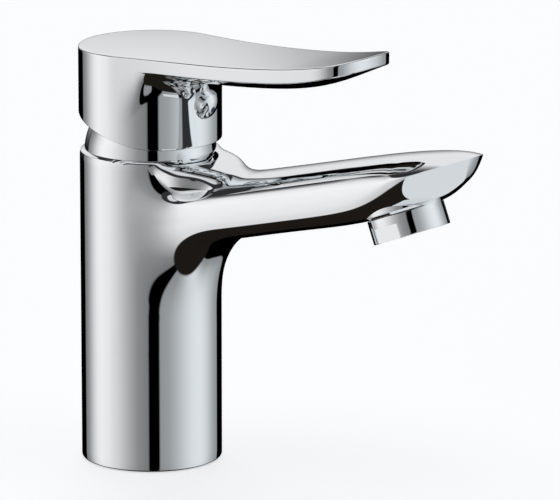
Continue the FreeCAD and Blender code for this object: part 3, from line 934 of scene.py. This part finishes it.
# ---------------------------------------------------------------- handle
@dataclass
class Handle:
    """The chromed handle: a flat lever over a round skirt with a ball-shaped hollow."""

    skirt_r: float = 25.3
    pivot_z: float = 110.6
    hollow_r: float = 23.9
    leave: float = 3.0             # reach where the lever's sides leave the skirt's circle
    tip: float = 98.6
    nose_start: float = 84.0
    edge_round: float = 0.55
    under_round: float = 0.45
    blend_reach: float = 7.0       # the blend to the skirt, outwards and downwards
    blend_drop: tuple[float, float] = (7.0, 21.0)
    drop_over: float = 6.0         # overhang across which the drop goes from one to the other
    open_from: float = 1.4         # overhang where the underside starts to show, and where it is full
    open_full: float = 5.0
    least_wall: float = 1.5        # skirt wall kept under the blend
    nose_powers: tuple[float, float] = (3.2, 2.2)
    crown: float = 0.35
    front_z: float = 116.1
    rise: float = 0.28
    rise_z: float = 119.95
    outline_columns: int = 220
    half_widths: Stations = ((3, 25.12), (12, 23.75), (24, 22.2), (40, 20.9), (60, 19.6), (76, 18.5),
                             (88, 17.5))
    top: Stations = ((-26, 148.8), (0, 149.5), (24, 149.95), (44, 150.6), (62, 151.8), (76, 153.3),
                     (86, 154.9), (94, 156.5), (100, 157.9))
    wall: Stations = ((-26, 4.9), (40, 4.9), (70, 4.9), (84, 4.6), (92, 4.1), (100, 3.6))
    keel: Stations = ((-26, 3.0), (20, 5.2), (50, 5.0), (70, 4.4), (84, 3.0), (92, 1.6), (100, 0.0))

    def half_width(self, reach: Points) -> Points:
        """Half width of the lever, without the rounding of its front end."""
        return smooth_line(self.half_widths, np.clip(reach, self.leave, None))

    def outline(self) -> tuple[Points, Points]:
        """The handle's plan outline, evenly spaced from the back round the +X side to the tip and home.

        Returns:
            Plan points as x and reach, and the skirt angle that belongs to each.
        """
        leave_angle = math.acos(self.leave / self.skirt_r)
        back = np.linspace(math.pi, leave_angle, 400)
        circle = np.stack([self.skirt_r * np.sin(back), self.skirt_r * np.cos(back)], -1)
        reach = self.leave + (self.nose_start - self.leave) * np.linspace(0, 1, 400)[1:]
        side = np.stack([self.half_width(reach), reach], -1)
        turn = np.linspace(0, math.pi / 2, 500)[1:]
        along = np.sin(turn) ** (2 / self.nose_powers[0])
        across = np.cos(turn) ** (2 / self.nose_powers[1])
        reach = self.nose_start + (self.tip - self.nose_start) * along
        nose = np.stack([self.half_width(reach) * across, reach], -1)
        half = np.concatenate([circle, side, nose])
        length = np.concatenate([[0], np.cumsum(np.linalg.norm(np.diff(half, axis=0), axis=1))])
        even = np.linspace(0, length[-1], self.outline_columns // 2 + 1)
        points = np.stack([np.interp(even, length, half[:, i]) for i in range(2)], -1)
        angle = np.arctan2(points[:, 0], points[:, 1])
        mirrored = points[1:-1][::-1] * np.array([-1, 1])
        return np.concatenate([points, mirrored]), np.concatenate([angle, -angle[1:-1][::-1]])

    def top_z(self, x: Points, reach: Points) -> Points:
        """Height of the top face."""
        return smooth_line(self.top, reach) + self.crown * (1 - (x / self.half_width(reach)) ** 2)

    def under_z(self, x: Points, reach: Points) -> Points:
        """Height of the lever's underside, keel included.

        Args:
            x: distance to the side.
            reach: distance towards the outlet.

        Returns:
            The height at each point.
        """
        share = np.clip(np.abs(x) / self.half_width(reach), 0, 1)
        depth = smooth_line(self.wall, reach) + smooth_line(self.keel, reach) * (1 - share**2)
        return smooth_line(self.top, reach) - depth

    def skirt_low(self, reach: Points) -> Points:
        """Lower edge of the skirt: level in front, rising to the back.

        Args:
            reach: distance towards the outlet.

        Returns:
            The height at each reach.
        """
        rising = self.rise_z - self.rise * reach
        soft = 1.2
        return (self.front_z + rising + np.sqrt((self.front_z - rising) ** 2 + soft**2)) / 2

    def build(self, chrome: bpy.types.Material) -> None:
        """Makes the handle's skin.

        Args:
            chrome: the finish.
        """
        skin = Skin("handle_skin")
        plan, angle = self.outline()
        x, reach = plan.T
        tangent = np.roll(plan, -1, axis=0) - np.roll(plan, 1, axis=0)
        tangent /= np.linalg.norm(tangent, axis=1, keepdims=True)
        inward = np.stack([tangent[:, 1], -tangent[:, 0]], -1)
        inward *= np.sign(np.sum(inward * (np.array([0, 20.0]) - plan), axis=1, keepdims=True) + 1e-9)

        def lift(p: Points, z: Points) -> Points:
            """Puts plan points at a height."""
            return np.stack([p[..., 0], -p[..., 1], np.broadcast_to(z, p.shape[:-1])], -1)

        # top face: rings from the edge to a line down the middle
        inner = plan + inward * self.edge_round
        spine = np.stack([0 * reach, np.clip(reach, 0.0, self.nose_start)], -1)
        t = np.linspace(0, 1, 20)[:, None, None]
        rings = inner + (spine - inner) * t
        skin.patch(lift(rings, self.top_z(rings[..., 0], rings[..., 1])), wrap=True)
        # rounded upper edge
        bend = np.linspace(0, math.pi / 2, 5)[:, None]
        offset = self.edge_round * (1 - np.sin(bend))
        edge = plan + inward * offset[..., None]
        z_edge = self.top_z(x, reach)
        drop = self.edge_round * (1 - np.cos(bend))
        skin.patch(lift(edge, self.top_z(edge[..., 0], edge[..., 1]) - drop), wrap=True)
        # side wall, its lower edge and the underside as far as the skirt
        landing = self.skirt_r * np.stack([np.sin(angle), np.cos(angle)], -1)
        gap = np.linalg.norm(landing - plan, axis=1)
        z_low = self.under_z(x, reach)
        open_gap = np.clip((gap - self.open_from) / (self.open_full - self.open_from), 0, 1)
        round_off = open_gap**2 * (3 - 2 * open_gap)
        small = self.under_round * round_off
        t = np.linspace(0, 1, 8)[:, None]
        z_wall = (z_edge - self.edge_round) * (1 - t) + (z_low + small) * t
        skin.patch(lift(np.broadcast_to(plan, (8, *plan.shape)), z_wall), wrap=True)
        share = np.divide(1.0, gap, out=np.zeros_like(gap), where=gap > 1e-6)[:, None]
        across = (landing - plan) * share
        bend = np.linspace(0, math.pi / 2, 5)[:, None]
        step = plan + across * (small * (1 - np.cos(bend)))[..., None]
        z_step = z_low + small * (1 - np.sin(bend))
        z_step += (self.under_z(step[..., 0], step[..., 1]) - z_low) * np.sin(bend)
        skin.patch(lift(step, z_step), wrap=True)
        # underside, then the blend that turns down into the skirt
        landing_z = self.under_z(landing[:, 0], landing[:, 1])
        out = np.minimum(gap - small, self.blend_reach)
        low_drop, side_drop = self.blend_drop
        drop = low_drop + (side_drop - low_drop) * np.clip(1 - gap / self.drop_over, 0, 1) ** 2
        drop = np.minimum(drop, landing_z - self.skirt_low(landing[:, 1]) - self.least_wall)
        t = np.linspace(0, 1, 22)[:, None]
        away = (gap - small) * (1 - t) + out * t
        under = landing - across * away[..., None]
        skin.patch(lift(under, self.under_z(under[..., 0], under[..., 1])), wrap=True)
        t = np.linspace(0, 1, 26)[:, None]
        turn = t * math.pi / 2
        away = out * (round_off * (1 - np.sin(turn)) + (1 - round_off) * (1 - t**2 * (3 - 2 * t)))
        fall = drop * (round_off * (1 - np.cos(turn)) + (1 - round_off) * t)
        under = landing - across * away[..., None]
        skin.patch(lift(under, self.under_z(under[..., 0], under[..., 1]) - fall), wrap=True)
        self.add_skirt(skin, angle, landing_z - drop)
        skin.finish(chrome, Body.LEVER, "chrome_handle", ("handle",), sharp_deg=40.0)

    def add_skirt(self, skin: Skin, angle: Points, z_top: Points) -> None:
        """Adds the skirt's wall, its lower edge and the ball-shaped hollow.

        Args:
            skin: the handle's skin.
            angle: angles round the axis, 0 towards the outlet.
            z_top: height at which the blend from the lever arrives.
        """
        reach = self.skirt_r * np.cos(angle)
        z_low = self.skirt_low(reach)
        chamfer = 0.35
        t = np.linspace(0, 1, 30)[:, None]
        rows = [(self.skirt_r + 0 * t, z_top * (1 - t) + (z_low + chamfer) * t)]
        bend = np.linspace(0, math.pi / 2, 5)[:, None]
        rows.append((self.skirt_r - chamfer * (1 - np.cos(bend)), z_low + chamfer * (1 - np.sin(bend))))
        r_ball = np.sqrt(self.hollow_r**2 - (z_low - self.pivot_z) ** 2)
        t = np.linspace(0, 1, 4)[:, None]
        rows.append(((self.skirt_r - chamfer) * (1 - t) + r_ball * t, z_low + 0 * t))
        polar = np.arctan2(r_ball, z_low - self.pivot_z) * (1 - np.linspace(0, 1, 24)[:, None])
        rows.append((self.hollow_r * np.sin(polar), self.pivot_z + self.hollow_r * np.cos(polar)))
        for r, z in rows:
            r, z = np.broadcast_arrays(r, z)
            skin.patch(np.stack([r * np.sin(angle), -r * np.cos(angle), z], -1), wrap=True)


@dataclass
class DomeRing:
    """The chromed dome between column and handle."""

    pivot_z: float = 110.6
    radius: float = 23.4
    wall: float = 1.5
    base_z: float = 112.4
    top_z: float = 129.0
    opening_r: float = 14.0
    foot_r: float = 19.2
    inner_end: float = math.pi / 2 - 0.35

    def build(self, chrome: bpy.types.Material) -> None:
        """Makes the dome.

        Args:
            chrome: the finish.
        """
        low = math.acos((self.base_z - self.pivot_z) / self.radius)
        high = math.acos((self.top_z - self.pivot_z) / self.radius)
        outer = arc_points(self.radius, self.pivot_z, np.linspace(low, high, 30))
        inner_r = self.radius - self.wall
        high_in = math.asin(self.opening_r / inner_r)
        inner = arc_points(inner_r, self.pivot_z, np.linspace(high_in, self.inner_end, 12))
        profile = [(self.foot_r, self.base_z)] + outer + [(self.opening_r, self.top_z)] + inner
        profile += [(self.foot_r, inner[-1][1]), (self.foot_r, self.base_z)]
        angles = np.linspace(0, 2 * math.pi, 193)[:-1]
        Skin("dome_skin").patch(turned(profile, angles), wrap=True).finish(
            chrome, Body.BASE, "chrome_trim", ("dome_ring",))


@dataclass
class IndexPlug:
    """The domed plug over the handle's screw."""

    reach: float = 26.1
    height: float = 130.3
    tilt_deg: float = 20.0
    radius: float = 5.0
    ball_r: float = 7.5
    proud: float = 2.3
    seat_r: float = 1.05
    seat_depth: float = 0.6
    foot: float = -2.4

    def build(self, chrome: bpy.types.Material) -> None:
        """Makes the plug.

        Args:
            chrome: the finish.
        """
        tilt = math.radians(self.tilt_deg)
        outward = np.array([0.0, -math.cos(tilt), -math.sin(tilt)])
        across = np.array([1.0, 0.0, 0.0])
        up = np.array([0.0, -math.sin(tilt), math.cos(tilt)])
        start = math.asin(self.seat_r / self.ball_r)
        end = math.asin(self.radius / self.ball_r)
        centre = self.proud - self.ball_r
        dome = arc_points(self.ball_r, centre, np.linspace(start, end, 16))
        low = dome[-1][1]
        seat = self.proud - self.seat_depth
        profile = [(0.0, seat), (self.seat_r, seat)] + dome
        profile += [(self.radius + 0.02, low - 0.15), (self.radius, low - 0.4), (self.radius, self.foot),
                    (0.0, self.foot)]
        angles = np.linspace(0, 2 * math.pi, 97)[:-1]
        grid = turned(profile, angles)
        foot = np.array([0.0, -self.reach, self.height])
        placed = foot + grid[..., :1] * across + grid[..., 1:2] * up + grid[..., 2:] * outward
        Skin("index_plug_skin").patch(placed, wrap=True).finish(
            chrome, Body.LEVER, "chrome_trim", ("index_plug",), sharp_deg=35.0)


# ---------------------------------------------------------------- pieces that keep their CAD shape
@dataclass
class Insides:
    """Cartridge, seals, fasteners and aerator parts: CAD shapes with their finishes."""

    finishes: tuple[tuple[object, tuple[str, ...]], ...] = (
        (Moulded("natural_acetal", (0.80, 0.81, 0.79), (0.70, 0.71, 0.68), 0.35, scatter=0.2),
         ("cartridge_housing", "cartridge_base")),
        (Moulded("glass_filled_nylon", (0.055, 0.058, 0.065), (0.035, 0.037, 0.042), 0.5),
         ("rotor", "disc_carrier")),
        (Moulded("red_acetal", (0.50, 0.025, 0.02), (0.38, 0.015, 0.012), 0.35), ("swing_stop",)),
        (Moulded("lapped_ceramic", (0.80, 0.77, 0.70), (0.74, 0.71, 0.64), 0.18, 0.001, coat=0.3),
         ("fixed_disc", "moving_disc")),
        (Moulded("black_rubber", (0.018, 0.018, 0.019), (0.028, 0.028, 0.028), 0.62, 0.01, sheen=0.2),
         ("base_gasket", "port_seals", "chamber_seal", "aerator_gasket")),
        (Moulded("grey_silicone", (0.16, 0.165, 0.17), (0.13, 0.135, 0.14), 0.5, scatter=0.1),
         ("disc_seal",)),
        (Moulded("white_acetal", (0.78, 0.78, 0.76), (0.70, 0.70, 0.68), 0.4, scatter=0.2),
         ("aerator_insert", "aerator_screen")),
        (Moulded("green_acetal", (0.03, 0.17, 0.07), (0.02, 0.13, 0.05), 0.4), ("flow_regulator",)),
        (Moulded("blue_enamel", (0.010, 0.022, 0.085), (0.008, 0.017, 0.065), 0.3, 0.001), ("index_dot",)),
        (Machined("bare_brass", (0.72, 0.52, 0.24), (0.50, 0.34, 0.15)), ("cartridge_stem", "cartridge_nut")),
        (Machined("turned_steel", (0.56, 0.56, 0.57), (0.44, 0.44, 0.45), 0.22),
         ("lift_pin", "handle_screw")),
    )

    def dress(self, effects: Effects) -> None:
        """Gives each CAD piece its finish.

        Args:
            effects: the shared effects.
        """
        for finish, nodes in self.finishes:
            material = finish.build(effects)
            for node in nodes:
                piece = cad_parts[node]
                for slot in piece.material_slots:
                    slot.material = material
                LOG.info("%s: %s", node, finish.name)


# ---------------------------------------------------------------- studio
@dataclass(frozen=True)
class SoftBox:
    """A large soft box, by bearing from the camera: bright in the middle, dimmer towards its edges."""

    left: float
    middle: float
    right: float
    level: float
    edge_level: float
    border: float = 2.0
    steps: int = 5

    def stops(self) -> list[tuple[float, float]]:
        """Pairs of bearing and light, from dark through the box to dark again.

        Returns:
            The pairs, in rising order of bearing.
        """
        made = [(self.left - self.border, 0.0)]
        for start, end in ((self.left, self.middle), (self.middle, self.right)):
            for share in np.linspace(0, 1, self.steps, endpoint=False):
                across = share if end == self.middle else 1 - share
                light = self.edge_level + (self.level - self.edge_level) * math.sin(across * math.pi / 2) ** 2
                made.append((start + (end - start) * share, light))
        return made + [(self.right, self.edge_level), (self.right + self.border, 0.0)]


@dataclass
class Studio:
    """Camera, soft surround and pale floor."""

    azimuth_deg: float = -52.0
    elevation_deg: float = 14.0
    distance_m: float = 2.0
    target_mm: tuple[float, float, float] = (0.0, -55.0, 80.0)
    lens_mm: float = 369.0
    shift: tuple[float, float] = (0.0118, 0.0157)
    boxes: tuple[SoftBox, ...] = (SoftBox(-135.0, -90.0, -5.0, 0.9, 0.2),
                                  SoftBox(15.0, 85.0, 135.0, 0.8, 0.3))
    box_tint: tuple[Colour, Colour] = ((0.99, 1.0, 1.01), (0.95, 1.0, 1.04))
    backdrop_share: Stations = ((-158, 1.0), (-132, 0.0), (150, 0.0), (165, 1.0))
    # Heights in degrees between which each layer comes in, and its tone.
    backdrop: tuple[float, float, Tone] = (-12.0, 16.0, (0.80, 0.81, 0.82, 1))
    gap: tuple[float, float, Tone] = (31.0, 36.0, (0.03, 0.03, 0.032, 1))
    ceiling: tuple[float, float, Tone] = (52.0, 58.0, (0.66, 0.68, 0.70, 1))
    dark_floor: tuple[float, float, Tone] = (-49.0, -45.0, (0.012, 0.010, 0.008, 1))

    def facing(self) -> tuple[Vector, Vector]:
        """Unit vectors, level, towards the camera and to the camera's right."""
        a = math.radians(self.azimuth_deg)
        return Vector((math.sin(a), -math.cos(a), 0)), Vector((math.cos(a), math.sin(a), 0))

    def add_camera(self) -> None:
        """Sets the camera at the viewing angle."""
        towards = self.facing()[0]
        e = math.radians(self.elevation_deg)
        back = towards * math.cos(e) + Vector((0, 0, math.sin(e)))
        data = bpy.data.cameras.new("camera")
        data.lens = self.lens_mm
        data.shift_x, data.shift_y = self.shift
        data.clip_end = 100.0
        camera = bpy.data.objects.new("camera", data)
        camera.location = Vector(self.target_mm) * MM + back * self.distance_m
        camera.rotation_mode = "QUATERNION"
        camera.rotation_quaternion = (-back).to_track_quat("-Z", "Y")
        bpy.context.collection.objects.link(camera)
        bpy.context.scene.camera = camera

    def add_surround(self) -> None:
        """Soft boxes and dark gaps all round, as a world."""
        world = bpy.data.worlds.new("soft_studio")
        bpy.context.scene.world = world
        world.use_nodes = True
        world.node_tree.nodes.clear()
        tree = Tree(world.node_tree)
        towards, right = self.facing()
        ray = tree.add("ShaderNodeTexCoord").outputs["Generated"]
        parts = [tree.add("ShaderNodeVectorMath", {0: ray, 1: tuple(axis)}, operation="DOT_PRODUCT")
                 for axis in (right, towards)]
        turn = tree.math("ARCTAN2", *(part.outputs["Value"] for part in parts))
        azimuth = tree.math("MULTIPLY_ADD", turn, 0.5 / math.pi, 0.5)
        rise = tree.math("ARCSINE", tree.add("ShaderNodeSeparateXYZ", {0: ray}).outputs["Z"])
        height = tree.math("MULTIPLY", rise, 180 / math.pi)
        stops = [stop for box in self.boxes for stop in box.stops()]
        boxes = self.ramp(tree, azimuth, stops, self.box_tint)
        behind = self.ramp(tree, azimuth, self.backdrop_share)
        lift = tree.spread(height, -40.0, 0.0, 0.88, 1.06)
        colour = tree.add("ShaderNodeVectorMath", {0: boxes, "Scale": lift}, operation="SCALE").outputs[0]
        ahead = tree.math("SUBTRACT", 1.0, behind)
        for (low, high, tone), limit in ((self.backdrop, behind), (self.gap, ahead), (self.ceiling, 1.0)):
            share = tree.math("MULTIPLY", tree.spread(height, low, high), limit)
            colour = tree.mix(share, colour, tone)
        low, high, tone = self.dark_floor
        colour = tree.mix(tree.spread(height, low, high, 1.0, 0.0), colour, tone)
        surround = tree.add("ShaderNodeBackground", {"Color": colour, "Strength": 1.0})
        plain = tree.add("ShaderNodeBackground", {"Color": (1, 1, 1, 1), "Strength": 1.0})
        seen = tree.add("ShaderNodeLightPath").outputs["Is Camera Ray"]
        mix = tree.add("ShaderNodeMixShader", {0: seen, 1: surround.outputs[0], 2: plain.outputs[0]})
        tree.add("ShaderNodeOutputWorld", {"Surface": mix.outputs[0]})

    @staticmethod
    def ramp(tree: Tree, azimuth: object, stops: Stations, tint: Stations = ()) -> bpy.types.NodeSocket:
        """Adds a ramp over the bearing.

        Args:
            tree: the node tree.
            azimuth: socket with the bearing, 0 to 1 for -180 to 180 degrees.
            stops: pairs of bearing from the camera, in degrees to the right, and value.
            tint: colour at the left and at the right.

        Returns:
            The ramp's colour.
        """
        node = tree.add("ShaderNodeValToRGB", {"Fac": azimuth})
        elements = node.color_ramp.elements
        while len(elements) < len(stops):
            elements.new(0.5)
        for element, (bearing, value) in zip(elements, stops):
            element.position = (bearing + 180) / 360
            side = tint[bearing > 0] if tint else (1, 1, 1)
            element.color = (*(value * c for c in side), 1)
        return node.outputs["Color"]

    @staticmethod
    def add_sheet(name: str, corners: list[tuple[float, float, float]],
                  material: bpy.types.Material) -> bpy.types.Object:
        """Adds a flat sheet of the studio between four corners, in metres.

        Args:
            name: the sheet's name.
            corners: its corners in order.
            material: its material.

        Returns:
            The sheet.
        """
        mesh = bpy.data.meshes.new(name)
        mesh.from_pydata(corners, [], [(0, 1, 2, 3)])
        mesh.materials.append(material)
        sheet = bpy.data.objects.new(name, mesh)
        bpy.context.collection.objects.link(sheet)
        return sheet

    def add_card(self) -> None:
        """Fill card under the outlet, seen only in reflections; it slopes away from the column."""
        near, far, half, height, slope = 0.120, 0.30, 0.085, 0.063, 0.27
        corners = [(x * half, -reach, height - slope * (reach - near)) for x, reach in
                   ((-1.0, near), (0.7, near), (1.2, far), (-2.2, far))]
        material, tree = new_material("fill_card")
        glow = tree.add("ShaderNodeEmission", {"Color": (0.68, 0.715, 0.74, 1), "Strength": 1.0})
        tree.add("ShaderNodeOutputMaterial", {"Surface": glow.outputs[0]})
        card = self.add_sheet("fill_card", corners, material)
        card.visible_camera = card.visible_diffuse = card.visible_shadow = card.visible_transmission = False

    def add_floor(self) -> None:
        """Pale floor that the foot stands on."""
        size, below = 6.0, -0.0004
        corners = [(x, y, below) for x, y in ((-size, -size), (size, -size), (size, size), (-size, size))]
        material, tree = new_material("pale_floor")
        shader = tree.add("ShaderNodeBsdfPrincipled", {
            "Base Color": (0.9, 0.9, 0.9, 1), "Roughness": 0.9, "Specular IOR Level": 0.0,
            "Emission Color": (1, 1, 1, 1), "Emission Strength": 0.58})
        tree.add("ShaderNodeOutputMaterial", {"Surface": shader.outputs["BSDF"]})
        self.add_sheet("floor", corners, material).visible_glossy = False

    def build(self) -> None:
        """Makes the camera, the surround, the floor and the fill card."""
        self.add_camera()
        self.add_surround()
        self.add_floor()
        self.add_card()
        bpy.context.scene.view_settings.view_transform = "Standard"


def main() -> None:
    """Builds every sub-assembly in order."""
    logging.basicConfig(level=logging.INFO, format="%(name)s %(message)s")
    Studio().build()
    effects = Effects()
    body_chrome = Chrome("chrome_on_brass").build(effects)
    handle_chrome = Chrome("chrome_on_zinc").build(effects)
    trim_chrome = Chrome("chrome_trim", base_roughness=0.02).build(effects)
    outlet = Outlet()
    Casting(Column(), Spout(), SpoutRoot(), outlet).build(body_chrome)
    outlet.add_housing(trim_chrome)
    DomeRing().build(trim_chrome)
    Handle().build(handle_chrome)
    IndexPlug().build(trim_chrome)
    Insides().dress(effects)


if __name__ == "__main__":
    main()
